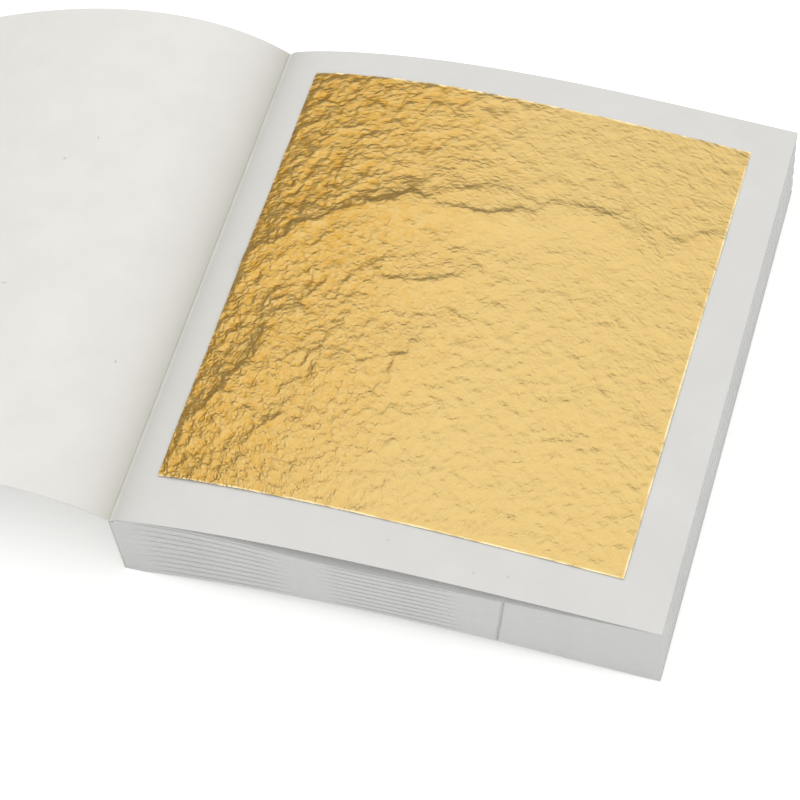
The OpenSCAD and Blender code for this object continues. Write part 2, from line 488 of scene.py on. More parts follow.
leaf_paper = uncoated_paper("uncoated tissue paper", "EAEAE9", "E5E5E4")
# The first leaf and the cover carry painted gutter shade along their glued edges.
top_leaf_paper = uncoated_paper(
    "uncoated tissue paper of the first leaf", "DFDEDA", "DAD9D5", specks=TOP_LEAF_SPECKS, gutter_shade="C9C8C2"
)
cover_paper = uncoated_paper(
    "thin wove cover paper", "EBE9E4", "E6E4DF", specks=COVER_SPECKS, gutter_shade="CDCAC0"
)
spine_paper = uncoated_paper("paper strip over the spine", "D8D7D0", "CDCCC4", on_sheet=False)
print("made", [m.name for m in (leaf_paper, top_leaf_paper, cover_paper, spine_paper)])

# %% [markdown]
# Padding glue is a white emulsion that is brushed along the clamped edges and dries to a skin
# with a slight shine. Only its brush marks give it detail, so one noise that is stretched along
# the spine gives both its colour and its bump.

# %% Dried glue
BRUSH_WIDTH = 0.6 * MM
BRUSH_LENGTH = 25 * MM
BRUSH_DEPTH = 0.05 * MM
GLUE_ROUGHNESS = 0.45
GLUE_IOR = 1.48

padding_glue, tree, surface = new_material("dried padding glue")
place = node(tree, "TexCoord").outputs["Object"]
stretched = node(tree, "Mapping", {
    "Vector": place,
    "Scale": (1 / BRUSH_WIDTH, 1 / BRUSH_LENGTH, 1 / BRUSH_WIDTH),
})
streaks = node(tree, "TexNoise", {"Vector": stretched.outputs[0], "Scale": 1, "Detail": 4})
colour = mix_colours(tree, streaks.outputs[0], linear("E6E6E2"), linear("DDDDD9"))
bump = node(tree, "Bump", {"Height": streaks.outputs[0], "Strength": 0.5, "Distance": BRUSH_DEPTH})
shader = node(tree, "BsdfPrincipled", {
    "Base Color": colour,
    "Roughness": GLUE_ROUGHNESS,
    "IOR": GLUE_IOR,
    "Normal": bump.outputs[0],
})
tree.links.new(shader.outputs[0], surface)
print("made", padding_glue.name)

# %% [markdown]
# ## Beaten gold
# Gold leaf is nearly pure gold, beaten to a ten-thousandth of a millimetre. Its surface is bare metal, so
# its colour comes only from what it mirrors, and the beating leaves it satin. Where it lies smooth it looks
# pale. Where it is crumpled, light bounces between the creases, and each bounce deepens the colour. A path
# tracer finds some of that by itself. The finest creases are drawn as bump, and the sheet carries a mark of
# how deep its colour is, which paints the rest of that deeper colour into the creases as painted shade.
# Real creases go down to hundredths of a millimetre. The ones drawn here are about a millimetre
# long, the finest that show in the picture. They run along curved folds, so the bump reads places
# along and across those folds, which a slow noise pulls about a little.

# %% Finest creases
FINE_FACET = (1.35 * MM, 0.88 * MM)
FACET_SHARE = 0.7
MOTTLE = 2.4 * MM
MOTTLE_PULL = 1.2 * MM


def fine_creases(tree, folds):
    """Height of the finest facets and their grain, from 0 to about 1.5, at places on the folds."""
    wander = node(tree, "TexNoise", {"Vector": folds, "Scale": 1 / MOTTLE, "Detail": 3})
    pull = node(tree, "VectorMath", {0: wander.outputs[1], "Scale": MOTTLE_PULL}, operation="SCALE")
    pulled = node(tree, "VectorMath", {0: folds, 1: pull.outputs[0]}, operation="ADD")
    place = node(tree, "Mapping", {
        "Vector": pulled.outputs[0],
        "Scale": (1 / FINE_FACET[0], 1 / FINE_FACET[1], 1),
    }).outputs[0]
    squares = []
    for feature in ("F1", "F2"):
        spread = {"Vector": place, "Scale": 1}
        far = node(tree, "TexVoronoi", spread, feature=feature, voronoi_dimensions="2D")
        squares.append(node(tree, "Math", {0: far.outputs["Distance"], 1: 2}, operation="POWER").outputs[0])
    apart = node(tree, "Math", {0: squares[1], 1: squares[0]}, operation="SUBTRACT", use_clamp=True)
    facet = node(tree, "Math", {0: apart.outputs[0], 1: FACET_SHARE}, operation="MULTIPLY")
    grain = node(tree, "TexNoise", {"Vector": place, "Scale": 1.0, "Detail": 2, "Roughness": 0.5})
    return node(tree, "Math", {0: facet.outputs[0], 1: grain.outputs[0]}, operation="ADD").outputs[0]


print("finest facets of", [round(size / MM, 2) for size in FINE_FACET], "mm")

# %% [markdown]
# The shader is a plain metal. Its colour goes from a pale to a deep gold, where the sheet is crumpled and
# most of all down in the creases, and that deep colour is painted shade. The torn rim is a painted
# highlight, a bright line for a sheet that curls up there and catches the lamp.

# %% Gold material
GOLD_ROUGHNESS = 0.34
FINE_DEPTH = 0.13 * MM
SMOOTH_SHARE = 0.28


def beaten_gold(name, pale, deep, rim):
    """Satin gold whose colour is painted deeper down in its creases as shade, with a painted highlight on
    its torn rim.
    """
    material, tree, surface = new_material(name)
    folds = node(tree, "Attribute", attribute_name="on_folds").outputs["Vector"]
    crumpled = node(tree, "Attribute", attribute_name="crumpled").outputs["Fac"]
    torn = node(tree, "Attribute", attribute_name="rim").outputs["Fac"]
    creases = fine_creases(tree, folds)
    strength = node(tree, "MapRange", {"Value": crumpled, "To Min": SMOOTH_SHARE, "To Max": 1.0})
    height = node(tree, "Math", {0: creases, 1: strength.outputs[0]}, operation="MULTIPLY")
    bump = node(tree, "Bump", {"Height": height.outputs[0], "Strength": 1.0, "Distance": FINE_DEPTH})
    # Painted shade: the colour goes deeper down in the finest creases, as far as the crumpled mark allows.
    low = node(tree, "MapRange", {
        "Value": creases, "From Min": 0.95, "From Max": 0.35, "To Min": 0.7, "To Max": 1.5
    })
    share = node(tree, "Math", {0: low.outputs[0], 1: crumpled}, operation="MULTIPLY", use_clamp=True)
    colour = mix_colours(tree, share.outputs[0], linear(pale), linear(deep))
    # Painted highlight along the torn rim.
    colour = mix_colours(tree, torn, colour, linear(rim))
    shader = node(tree, "BsdfPrincipled", {
        "Base Color": colour,
        "Metallic": 1.0,
        "Roughness": GOLD_ROUGHNESS,
        "Normal": bump.outputs[0],
    })
    tree.links.new(shader.outputs[0], surface)
    return material


gold = beaten_gold("beaten gold leaf", pale="D0B67A", deep="C6973E", rim="FAEBBE")
print("made", gold.name)

# %% [markdown]
# ## The turned cover
# The cover is one thin sheet. It leaves the spine steeply, rises over the gutter and curls down
# to the table, more at the back than at the front. The smooth line through the solid's corners
# gives that curl, and a slight slow wave keeps it from looking like sheet metal.

# %% Make the turned cover
LEAF_WIDTH = float(np.ptp(top_rows[0][:, 0]))
LEAF_DEPTH = float(top_rows[1][0, 1] - top_rows[0][0, 1])
LEAF_SIZE = (LEAF_WIDTH, LEAF_DEPTH)
COVER_GRID = (90, 60)
COVER_WAVE = 0.25 * MM
COVER_WAVE_LENGTH = 42 * MM
COVER_WAVE_SEED = 3.0


def slow_wave(x, y, length, seed):
    """A smooth random wave from -1 to 1 at places x, y."""
    return np.array([noise.noise(Vector((a / length, b / length, seed))) for a, b in zip(x, y)])


def cover_place(across, back_share):
    """Places of the turned cover, with its slow wave, which fades at its two ends."""
    spots = ruled(cover_rows, across, back_share)
    free = np.sin(np.pi * across)
    wave = slow_wave(spots[:, 0], spots[:, 1], COVER_WAVE_LENGTH, COVER_WAVE_SEED)
    spots[:, 2] += COVER_WAVE * free * wave
    return spots


cover_sheet = drape(flat_sheet(*COVER_GRID), cover_place, LEAF_SIZE, COVER)
turned_cover = piece_of("turned_cover", [cover_sheet], cover_paper)
stand_for(turned_cover, "cover", "front_cover")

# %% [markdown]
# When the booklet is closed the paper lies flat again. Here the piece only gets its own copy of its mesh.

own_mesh(turned_cover)

# %% [markdown]
# ## The block of leaves
# Under the first leaf lie ninety-nine more. What shows is their cut edges, so each leaf gets a
# border of fine steps that can stand a little out of the cut or behind it. Three things move it:
# each leaf was caught by the knife in its own way, the edges drift together along the block, and
# a shallow groove was left between one bundle of leaves and the next. The grooves draw the soft
# stripes on the cut faces, and they are deep only along a few stretches, so stripes come and go.

# %% Grooves between bundles
FRONT, BEHIND, FORE = 0, 1, 2
SHALLOW_GROOVE = 0.02 * MM
GROOVE_DEPTH = {FRONT: 0.75 * MM, BEHIND: 0.45 * MM, FORE: 0.6 * MM}
# Leaves from one groove to the next, and the share of them that a groove takes in
GROOVE_LEAVES = {FRONT: 10, BEHIND: 10, FORE: 25}
GROOVE_SHARE = {FRONT: 0.14, BEHIND: 0.14, FORE: 0.10}
# Middle and half width of each striped stretch in mm, from the glued edge or from the front
STRIPES = {
    FRONT: [(17.0, 11.0), (48.0, 10.0)],
    BEHIND: [(30.0, 9.0), (74.0, 10.0)],
    FORE: [(54.0, 11.0)],
}


def groove_depth(place, side):
    """How deep the grooves between bundles are, at a distance along an edge."""
    depth = np.full_like(place, SHALLOW_GROOVE)
    for middle, width in STRIPES[side]:
        depth += GROOVE_DEPTH[side] * np.exp(-((place - middle * MM) / (width * MM)) ** 6)
    return depth


front_depths = groove_depth(np.array([17.0, 48.0, 80.0]) * MM, FRONT)
print("front grooves", (front_depths / MM).round(2), "mm deep at 17, 48 and 80 mm")

# %% [markdown]
# A nick in the knife has left a line down the front face, which leans as the knife was drawn. It
# is a narrow valley with a low lip beside it. Its place differs from leaf to leaf, so the corners
# of each front edge are gathered round it.

# %% The nick and the trimmed edges
NICK_TOP = 68.0 * MM
NICK_LEAN = 0.027 * MM
NICK_WIDTH = 0.17 * MM
NICK_DEPTH = 0.5 * MM
NICK_REACH = 1.6 * MM
# The lip's height as a share of the nick's depth, and how many nick widths away it lies
LIP_SHARE = 0.15
LIP_PLACE = 3
GATHERED = 0.72
# How far a leaf may stand out by itself, and how far neighbours drift together, on each side
OWN_CUT = {FRONT: 0.016 * MM, BEHIND: 0.016 * MM, FORE: 0.008 * MM}
DRIFT = {FRONT: 0.02 * MM, BEHIND: 0.02 * MM, FORE: 0.03 * MM}
DRIFT_LENGTH = 11 * MM
DRIFT_LEAVES = {FRONT: 3, BEHIND: 3, FORE: 16}
# Steps through the noise, so that each leaf and each side reads its own stretch of it
LEAF_STEP = 5.37
OWN_SIDE_STEP = 17.1
DRIFT_SIDE_STEP = 9.7


def nick_place(leaf):
    """The nick's x at a leaf."""
    return NICK_TOP - NICK_LEAN * leaf


def stands_out(leaf, place, side):
    """How far a leaf's edge stands out of the cut face, at places along that edge."""
    own = OWN_CUT[side] * noise.noise(Vector((leaf * LEAF_STEP, side * OWN_SIDE_STEP, 0.5)))
    level = leaf / DRIFT_LEAVES[side]
    wander = [noise.noise(Vector((p / DRIFT_LENGTH, level, side * DRIFT_SIDE_STEP))) for p in place]
    from_groove = (leaf / GROOVE_LEAVES[side]) % 1 - 0.5
    groove = math.exp(-((from_groove / GROOVE_SHARE[side]) ** 4))
    out = own + DRIFT[side] * np.array(wander) - groove_depth(place, side) * groove
    if side == FRONT:
        from_nick = (place - nick_place(leaf)) / NICK_WIDTH
        lip = LIP_SHARE * np.exp(-((from_nick - LIP_PLACE) ** 2))
        out += NICK_DEPTH * (lip - np.exp(-(from_nick ** 2)))
    return out


def gather_at(place, middle, reach):
    """Draws nearby places together round a middle, with one of them right on it."""
    nearest = place[np.abs(place - middle).argmin()]
    place = place + (middle - nearest) * np.exp(-(((place - middle) / reach) ** 2))
    off = place - middle
    return middle + off * (1 - GATHERED * np.exp(-((off / reach) ** 2)))


gathered = gather_at(np.linspace(0, 8, 5) * MM, 4.5 * MM, NICK_REACH)
print("places 2 mm apart gather to", (gathered / MM).round(2))

# %% [markdown]
# A leaf is draped on its own smooth line, and its three cut edges are moved as they stand out. A
# cut edge also has a burr, where the knife dragged the paper up, so leaves lie closer there.

# %% One leaf of the block
LEAF_GRID = (30, 16)
EDGE_CUTS = 3
BURR = 0.07 * MM
# A share this close to 0 or 1 is on the sheet's edge
ON_EDGE = 1e-6

trim_low, trim_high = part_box("interleaf_06")


def leaf_sheet(corners, leaf):
    """A leaf of paper on its own line, with its edges trimmed as they stand out."""
    rows, thickness = edge_rows(corners)
    nick = np.interp(nick_place(leaf), along(rows[0], FINE)[:, 0], FINE)

    def place(across, back_share):
        at_front = back_share < ON_EDGE
        at_back = back_share > 1 - ON_EDGE
        at_fore = across > 1 - ON_EDGE
        across = across.copy()
        across[at_front] = gather_at(across[at_front], nick, NICK_REACH / LEAF_WIDTH)
        spots = ruled(rows, across, back_share)
        spots[at_fore, 0] += stands_out(leaf, spots[at_fore, 1] - trim_low.y, FORE)
        spots[at_front, 1] = trim_low.y - stands_out(leaf, spots[at_front, 0], FRONT)
        spots[at_back, 1] = trim_high.y + stands_out(leaf, spots[at_back, 0], BEHIND)
        return spots

    return drape(flat_sheet(*LEAF_GRID, EDGE_CUTS), place, LEAF_SIZE, thickness, burr=BURR)


print("the block is trimmed from", round(trim_low.y / MM, 2), "to", round(trim_high.y / MM, 2), "mm")

# %% [markdown]
# Leaves 2 to 10 are separate pieces, because the first few of them turn. The other ninety leaves
# are nine bundles of ten, one piece for each bundle.

# %% Make the block
LOOSE_LEAVES = 10
BUNDLE = 10
LAST_BUNDLE = 10


def body_of_node(name):
    """The body that a node rides on."""
    return next(body for body, names in frame["record"]["behaviour"]["bodies"].items() if name in names)


for leaf in range(2, LOOSE_LEAVES + 1):
    name = f"interleaf_{leaf:02d}"
    sheet = leaf_sheet(loose_sheets(name)[0], leaf)
    piece = piece_of(f"leaf_{leaf:02d}", [sheet], leaf_paper)
    stand_for(piece, body_of_node(name), name)

for bundle in range(2, LAST_BUNDLE + 1):
    name = f"paper_bundle_{bundle:02d}"
    first = LOOSE_LEAVES + (bundle - 2) * BUNDLE + 1
    sheets = [leaf_sheet(corners, first + k) for k, corners in enumerate(loose_sheets(name))]
    piece = piece_of(f"leaves_of_bundle_{bundle:02d}", sheets, leaf_paper)
    stand_for(piece, "block", name)

# %% [markdown]
# The lower cover is the same paper as the turned one and lies flat under the last leaf. Only its
# edge shows, so it needs no wave.

# %% Make the lower cover
LOWER_GRID = (60, 24)

lower_rows, _ = edge_rows(loose_sheets("back_cover")[0])


def lower_place(across, back_share):
    """Places of the lower cover."""
    return ruled(lower_rows, across, back_share)


lower_sheet = drape(flat_sheet(*LOWER_GRID), lower_place, LEAF_SIZE, COVER)
lower_cover = piece_of("lower_cover", [lower_sheet], cover_paper)
stand_for(lower_cover, "block", "back_cover")

# %% [markdown]
# ## The first leaf
# The first leaf has risen off the block. It arches over it from the spine to the fore-edge,
# higher at the back, and leaves the dark gap that shows along the front. A slow wave of a tenth
# of a millimetre makes its margins catch the light unevenly. The gold lies on this leaf, so the
# same wave is added to the gold.

# %% Make the first leaf
FIRST_LEAF_GRID = (110, 90)
LEAF_WAVE = 0.12 * MM
LEAF_WAVE_LENGTH = 26 * MM
LEAF_WAVE_SEED = 8.0


def first_leaf_wave(x, y):
    """Wave of the first leaf, which fades at the spine and at the fore-edge, where it is held."""
    share = np.clip((x - top_rows[0][0, 0]) / LEAF_WIDTH, 0, 1)
    wave = slow_wave(x, y, LEAF_WAVE_LENGTH, LEAF_WAVE_SEED)
    return LEAF_WAVE * np.sin(np.pi * share) ** 2 * (1 + wave) / 2


def first_leaf_place(across, back_share):
    """Places of the first leaf, with its wave."""
    spots = ruled(top_rows, across, back_share)
    spots[:, 2] += first_leaf_wave(spots[:, 0], spots[:, 1])
    return spots


first_sheet = drape(flat_sheet(*FIRST_LEAF_GRID), first_leaf_place, LEAF_SIZE, PAPER)
first_leaf = piece_of("first_leaf", [first_sheet], top_leaf_paper)
stand_for(first_leaf, "leaf_01", "interleaf_01")

# %% [markdown]
# A closing cover presses the arched leaf lower, together with the gold on it. Here the pieces only get
# their own copies of their meshes, and the place of the leaf's root is worked out.

# %% Give the leaf its own mesh
leaf_root = Vector((top_rows[0][0] + top_rows[1][0]) / 2)


def pressed_by_cover(piece):
    """Gives a sheet its own copy of its mesh."""
    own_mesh(piece)


pressed_by_cover(first_leaf)
print("the leaf's root is at", round(leaf_root.x / MM, 2), "mm")

# %% [markdown]
# ## The first sheet of gold
# The first sheet of gold is crumpled most at its inner side and lies smoother towards the
# fore-edge. Its creases curve round a point a little in front of the booklet, so the relief is
# worked out in places along and across circles round that point. The relief is geometry, so it
# also shows from low down.

# %% Places along the folds
FOLD_CENTRE = (45.0, -72.0)
FOLD_REFERENCE = 90.0


def fold_places(x, y):
    """Places along and across the curved folds, in mm, for places on the booklet in mm."""
    dx, dy = x - FOLD_CENTRE[0], y - FOLD_CENTRE[1]
    return np.arctan2(dy, dx) * -FOLD_REFERENCE, np.hypot(dx, dy)


print("mid sheet lies", [round(float(c)) for c in fold_places(45.0, 0.0)], "mm along and across the folds")

# %% [markdown]
# Crumpled foil is made of small flat facets that meet in sharp creases and ridges. Take random
# points and, at each place, the squares of the distances to the nearest and the next nearest.
# Their difference is a surface of flat facets that meet in creases. A second such surface,
# turned upside down, brings the ridges. The sheet adds up this pattern at three sizes. The two
# smaller ones are drawn out along the folds, and the largest runs freely across them.

# %% Facets, creases and ridges
MOST_FACET = 1.2
RIDGE_MIDDLE = 0.55
RIDGE_SHARE = 0.6
SECOND_SEED = 50


def facets(along_fold, across_fold, size, seed):
    """Flat facets with sharp creases between them, from 0 to about 1."""
    heights = []
    for u, v in zip(along_fold / size[0], across_fold / size[1]):
        nearest, second = noise.voronoi(Vector((u, v, seed)))[0][:2]
        heights.append(second ** 2 - nearest ** 2)
    return np.minimum(heights, MOST_FACET)


def ridges(along_fold, across_fold, size, seed):
    """Flat facets with both ridges and creases between them, from 0 to about 1.2."""
    raised = facets(along_fold, across_fold, size, seed)
    sunk = facets(along_fold, across_fold, size, seed + SECOND_SEED)
    return np.clip(RIDGE_MIDDLE + RIDGE_SHARE * (raised - sunk), 0, MOST_FACET)


some = ridges(np.linspace(0, 9, 40), np.linspace(0, 5, 40), (1, 1), 1.0)
print("ridges run from", round(some.min(), 2), "to", round(some.max(), 2))

# %% [markdown]
# Eight long folds cross the sheet, most of them from the inner side to the back right. Each is
# an arc through three places, so its curve is easy to move. It falls off steeply on one side and
# gently on the other, and the sheet is pulled smooth beside it. A little noise makes its line
# ragged and its height uneven.

# %% Long folds
# Each long fold: three places it runs through, in mm on the booklet, half its length, its height,
# its width, how smooth the sheet is pulled beside it, and on which side of its curve it is steep
OUTSIDE, INSIDE = 1, -1
LONG_FOLDS = [
    (((3.5, 0), (20.3, 13.5), (40, 22.3)), 27, 1.20, 2.8, 1.0, OUTSIDE),
    (((39.1, 18.7), (47, 19), (54.4, 21.8)), 10, 0.60, 2.0, 0.3, INSIDE),
    (((55.6, 22.9), (65.1, 23.7), (73.9, 20.2)), 12, 0.30, 2.6, 0.5, OUTSIDE),
    (((8, -29.7), (14.2, -19.5), (16.5, -7.8)), 15, 0.95, 3.2, 0.2, INSIDE),
    (((19.4, -32), (25, -22.4), (27.6, -11.6)), 14, 0.70, 2.2, 0.7, INSIDE),
    (((39.6, -14.2), (41.5, -9), (43.3, -3.7)), 7, 0.45, 1.5, 0.3, INSIDE),
    (((30.9, 4.1), (40.3, 3.7), (48.5, 8.5)), 12, 0.40, 1.6, 0.3, INSIDE),
    (((74.2, 17.9), (79.9, 22.2), (86.3, 25.4)), 9, 0.35, 1.8, 0.3, OUTSIDE),
]


def circle_through(places):
    """Centre and radius of the circle through three places."""
    first, second, third = np.array(places, float)
    sides = np.array([second - first, third - first])
    halfway = [(second @ second - first @ first) / 2, (third @ third - first @ first) / 2]
    centre = np.linalg.solve(sides, halfway)
    return centre, np.linalg.norm(centre - first)


print("long folds with radii of", [round(circle_through(fold[0])[1]) for fold in LONG_FOLDS], "mm")

# %% [markdown]
# Across a fold its height is a bell. On the steep side a narrow foot stands on a wide low skirt,
# and the gentle side is one wide bell, with a smooth stretch beside the crest.

# %% Height of the long folds
# Reach of the foot, the skirt and the gentle side, as shares of a fold's width
STEEP_SIDE = 0.45
SKIRT_SIDE = 2.4
GENTLE_SIDE = 2.0
SKIRT = 0.4
SMOOTH_MIDDLE = 0.6
SMOOTH_WIDTH = 0.65
# How far the line of a fold wanders, in mm, and the lengths of the two waves that it follows
RAGGED = 0.9
RAGGED_LENGTHS = (5.0, 1.8)
RAGGED_SEEDS = (21.0, 22.0)
RAGGED_FINE_SHARE = 0.4
# How uneven a fold's height is, as shares of its full height
UNEVEN_LENGTH = 9.0
UNEVEN_SEED = 23.0
UNEVEN_MIDDLE = 0.75
UNEVEN_SWING = 0.6
UNEVEN_RANGE = (0.3, 1.2)


def long_folds(x, y):
    """Height of the long folds, and how smooth the sheet is pulled on their gentle side."""
    total = np.zeros_like(x)
    smooth = np.zeros_like(x)
    wide, fine = (slow_wave(x, y, *wave) for wave in zip(RAGGED_LENGTHS, RAGGED_SEEDS))
    ragged = wide + RAGGED_FINE_SHARE * fine
    swing = slow_wave(x, y, UNEVEN_LENGTH, UNEVEN_SEED)
    uneven = np.clip(UNEVEN_MIDDLE + UNEVEN_SWING * swing, *UNEVEN_RANGE)
    for places, half, height, width, pulled, steep_side in LONG_FOLDS:
        (cx, cy), radius = circle_through(places)
        mx, my = places[1]
        off = steep_side * (np.hypot(x - cx, y - cy) - radius) + RAGGED * ragged
        steep = (1 - SKIRT) * np.exp(-(off / (width * STEEP_SIDE)) ** 2)
        skirt = SKIRT * np.exp(-(off / (width * SKIRT_SIDE)) ** 2)
        shape = np.where(off > 0, steep + skirt, np.exp(-(off / (width * GENTLE_SIDE)) ** 2))
        ends = np.exp(-(np.hypot(x - mx, y - my) / half) ** 4)
        total += height * ends * uneven * shape
        beside = np.exp(-((off + SMOOTH_MIDDLE * width) / (SMOOTH_WIDTH * width)) ** 2)
        smooth = np.maximum(smooth, ends * beside * pulled)
    return total, smooth


crest = long_folds(np.array([20.3]), np.array([13.5]))[0][0]
print("the first fold is", round(crest, 2), "mm high at its middle")

# %% [markdown]
# The crumple is strong at the inner side and weak over the outer half, weaker at the back than at
# the front. Slow noise lets the border between the two halves wander.

# %% How crumpled the sheet is
# Where the crumple fades towards the fore-edge, in mm, and how far that leans and wanders
INNER_SPAN = (5, 58)
INNER_LEAN = 0.1
INNER_WANDER = 7
INNER_LENGTH = 22.0
INNER_SEED = 5.0
# Where it goes from its front to its back strength over the outer half, in mm
BACKWARD_SPAN = (-25, 30)
LEAST_CRUMPLED = {"front": 0.46, "back": 0.18}


def smooth_step(value, low, high):
    """0 below low, 1 above high and a smooth rise between."""
    t = np.clip((value - low) / (high - low), 0, 1)
    return t * t * (3 - 2 * t)


def inner_share(x, y):
    """1 at the inner side of the first sheet and 0 over its outer half."""
    wander = INNER_WANDER * slow_wave(x, y, INNER_LENGTH, INNER_SEED)
    return 1 - smooth_step(x - INNER_LEAN * y + wander, *INNER_SPAN)


def crumpling(x, y):
    """How crumpled the first sheet is, from 1 at the inner side to a little at the fore-edge."""
    backward = smooth_step(y, *BACKWARD_SPAN)
    least = LEAST_CRUMPLED["front"] * (1 - backward) + LEAST_CRUMPLED["back"] * backward
    return least + (1 - least) * inner_share(x, y)


print("crumpled", crumpling(np.array([10.0, 40.0, 80.0]), np.zeros(3)).round(2), "at 10, 40 and 80 mm")

# %% [markdown]
# Now the parts are put together. The places are first pushed about by noise, so that the facets
# don't look ruled. The lowest part of the relief is cut off, so that the sheet lies on its leaf
# in many small places, and it is held down a little along its rim.

# %% Relief of the first sheet
WARP = 0.9
WARP_LENGTH = 2.4
WARP_SEEDS = (31.0, 37.0)
# Size of the facets along and across the folds in mm, their seed and their height in mm
LARGE = ((3.8, 2.4), 1.0, 0.42)
SMALL = ((1.5, 0.95), 7.0, 0.42)
CROSS = ((5.0, 5.0), 13.0, 0.36)
# How much of the crumple a long fold pulls smooth, and how much of the full relief is cut off, in mm
SMOOTHED_BY_FOLD = 0.8
LEAST_RELIEF = 0.25
# Width of the held rim in mm, and the share of its height that the relief has at the edge
RIM_REST = 1.2
RIM_HELD = 0.75


def pushed(x, y):
    """Places pushed about by noise."""
    push_x, push_y = (WARP * slow_wave(x, y, WARP_LENGTH, seed) for seed in WARP_SEEDS)
    return x + push_x, y + push_y


def drawn_out_facets(x, y):
    """The large and the small facets, drawn out along the folds."""
    u, v = fold_places(x, y)
    return [ridges(u, v, size, seed) for size, seed, _ in (LARGE, SMALL)]


def first_relief(x, y, from_edge):
    """Height of the crumpled gold above its rest, in mm."""
    held = RIM_HELD + (1 - RIM_HELD) * smooth_step(from_edge, 0, RIM_REST)
    x, y = pushed(x, y)
    large, small = drawn_out_facets(x, y)
    folds, smooth = long_folds(x, y)
    strength = crumpling(x, y) * (1 - SMOOTHED_BY_FOLD * smooth)
    folds += CROSS[2] * np.sqrt(strength) * ridges(x, y, *CROSS[:2])
    height = folds + strength * (LARGE[2] * large + SMALL[2] * small)
    return held * np.maximum(height - LEAST_RELIEF * np.sqrt(strength), 0)


sample = first_relief(np.linspace(8, 80, 60), np.linspace(-30, 30, 60), np.full(60, RIM_REST))
print("relief up to", round(sample.max(), 2), "mm on a line across the sheet")

# %% [markdown]
# The same facets tell the material where to paint the colour deep, as painted shade for light that bounces
# more than once before it leaves the crumple: down in the creases, and most at the inner side.

# %% Depth of the colour, painted as crease shade
OUTER_DEEPNESS = 0.22
DEEPEST = 1.2
LARGE_SHARE = 0.4
SMALL_SHARE = 0.6


def first_painted_crease_shade(x, y):
    """How deep the painted crease shade makes the colour, from 0 on smooth crests to 1 down in the creases.
    """
    large, small = drawn_out_facets(*pushed(x, y))
    creased = np.clip(DEEPEST - SMALL_SHARE * small - LARGE_SHARE * large, 0, 1)
    return (OUTER_DEEPNESS + (1 - OUTER_DEEPNESS) * inner_share(x, y)) * creased


print("deepness", first_painted_crease_shade(np.array([10.0, 80.0]), np.zeros(2)).round(2), "at 10 and 80 mm")

# %% [markdown]
# Every sheet of gold in the booklet is placed by one function: a rectangle, turned a little, that lies on
# its leaf with its relief. It carries two marks for the material: how deep its colour is, which sets the
# painted shade in its creases, and where the painted highlight on its torn rim lies. The highlight is
# uneven, for a rim that curls up here and there.

# %% A sheet of gold on its leaf
GOLD_SIZE = (80 * MM, 85 * MM)
BELOW_DEEPNESS = 0.35
RIM_HIGHLIGHT = 0.65
RIM_SWING = 1.2
RIM_LENGTH = 2.5 * MM
RIM_SEED = 41.0


def gold_on(leaf_rows, centre, turn, air, relief, wave=None, deepness=None):
    """The placing function of a sheet of gold that lies on a leaf, and its marks."""

    def spread(across, back_share):
        x = (across - 0.5) * GOLD_SIZE[0]
        y = (back_share - 0.5) * GOLD_SIZE[1]
        return (
            centre[0] + x * math.cos(turn) - y * math.sin(turn),
            centre[1] + x * math.sin(turn) + y * math.cos(turn),
        )

    def from_edge(across, back_share):
        to_side = np.minimum(across, 1 - across) * GOLD_SIZE[0]
        to_end = np.minimum(back_share, 1 - back_share) * GOLD_SIZE[1]
        return np.minimum(to_side, to_end) / MM

    def place(across, back_share):
        x, y = spread(across, back_share)
        z = height_on(leaf_rows, x, y) + PAPER + air
        z += relief(x / MM, y / MM, from_edge(across, back_share)) * MM
        if wave:
            z += wave(x, y)
        return np.column_stack([x, y, z])

    def marks(across, back_share):
        x, y = spread(across, back_share)
        rim = (across > 1 - ON_EDGE) | (back_share < ON_EDGE) | (back_share > 1 - ON_EDGE)
        # The rim mark is a painted highlight, uneven along the rim.
        shine = np.clip(RIM_HIGHLIGHT + RIM_SWING * slow_wave(x, y, RIM_LENGTH, RIM_SEED), 0, 1)
        # The crumpled mark sets how deep the shader paints shade into the creases.
        deep = deepness(x / MM, y / MM) if deepness else np.full_like(x, BELOW_DEEPNESS)
        return {"crumpled": deep, "rim": rim * shine}

    return place, marks


def add_fold_places(piece):
    """Writes places along and across the folds on a piece, for the bump of its finest creases."""
    mesh = piece.data
    spots = np.zeros(len(mesh.vertices) * 3)
    mesh.vertices.foreach_get("co", spots)
    spots = spots.reshape(-1, 3)
    u, v = fold_places(spots[:, 0] / MM, spots[:, 1] / MM)
    folds = mesh.attributes.new("on_folds", "FLOAT_VECTOR", "POINT")
    folds.data.foreach_set("vector", (np.column_stack([u, v, np.zeros_like(u)]) * MM).ravel())


GOLD = edge_rows(loose_sheets("gold_leaf_02")[0])[1]
print("gold", round(GOLD / MM, 3), "mm thick")

# %% [markdown]
# The first sheet has a grid of about 0.4 mm, fine enough for its smallest facets. It moves with
# its own body, since it can be taken off the leaf.

# %% Make the first sheet of gold
GOLD_GRID = (216, 226)
GOLD_TURN = math.radians(-0.86)
TOP_AIR = 0.06 * MM

gold_low, gold_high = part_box("gold_leaf_01")
gold_centre = (gold_low + gold_high) / 2
place, marks = gold_on(
    top_rows, gold_centre, GOLD_TURN, TOP_AIR, first_relief, wave=first_leaf_wave, deepness=first_painted_crease_shade
)
gold_sheet = drape(flat_sheet(*GOLD_GRID), place, GOLD_SIZE, GOLD, marks)
loose_gold = piece_of("first_sheet_of_gold", [gold_sheet], gold)
add_fold_places(loose_gold)
stand_for(loose_gold, "loose_gold", "gold_leaf_01")
pressed_by_cover(loose_gold)

# %% [markdown]
# ## Gold under the first leaf
# The second sheet shows only when the first leaf is turned. It may crumple as far as the arch
# over it leaves room. The sheets below are pressed flat between their leaves and keep only
# shallow creases.

